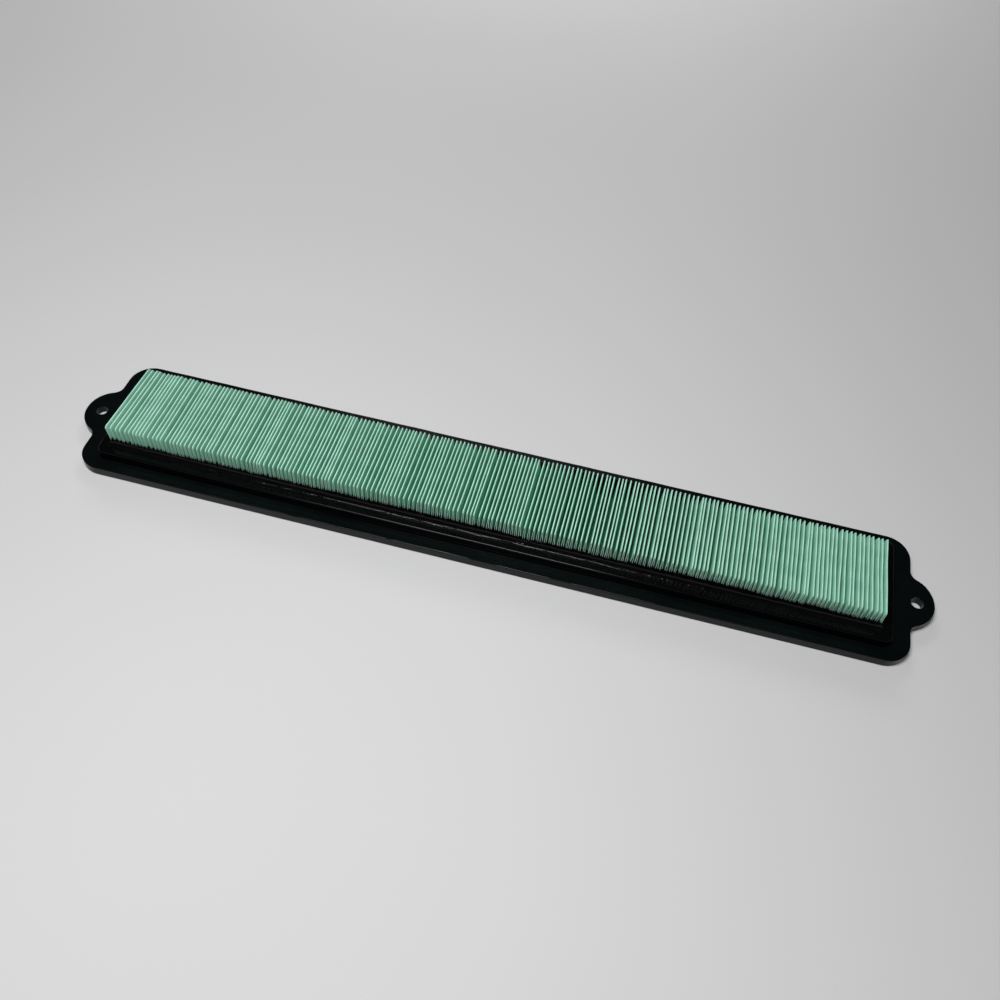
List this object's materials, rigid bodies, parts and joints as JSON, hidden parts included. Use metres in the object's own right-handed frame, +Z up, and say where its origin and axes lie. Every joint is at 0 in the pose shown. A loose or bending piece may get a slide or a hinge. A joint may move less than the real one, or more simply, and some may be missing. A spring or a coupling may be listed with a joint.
{
  "type": "panel air filter element",
  "caption": "Long narrow panel air filter: pleated paper pack in a raised rim, on a flat gasket flange with a screw ear at each end.",
  "frame": {"origin": "centre of the flange's underside, the face that seals on the airbox", "axes": "+X along the length, from the left ear to the right ear; +Y across the width, away from the picture's camera; +Z up, the way the pleats stand, towards the dirty air"},
  "size_m": [0.4538, 0.0754, 0.0228],
  "materials": {
    "flange_rubber": "satin black moulded polyurethane",
    "frame_plastic": "black moulding with glossy edges",
    "filter_paper": "matt pale green resin-treated filter paper",
    "adhesive": "glossy black cast adhesive",
    "hot_melt": "cloudy hot melt"
  },
  "bodies": {
    "root": {"flange_gasket": "flange_rubber", "pack_frame": "frame_plastic", "pleated_media": "filter_paper", "side_seal_near": "adhesive", "side_seal_far": "adhesive", "end_seal_left": "adhesive", "end_seal_right": "adhesive", "spacer_bead_near": "hot_melt", "spacer_bead_middle": "hot_melt", "spacer_bead_far": "hot_melt"}
  },
  "joints": []
}
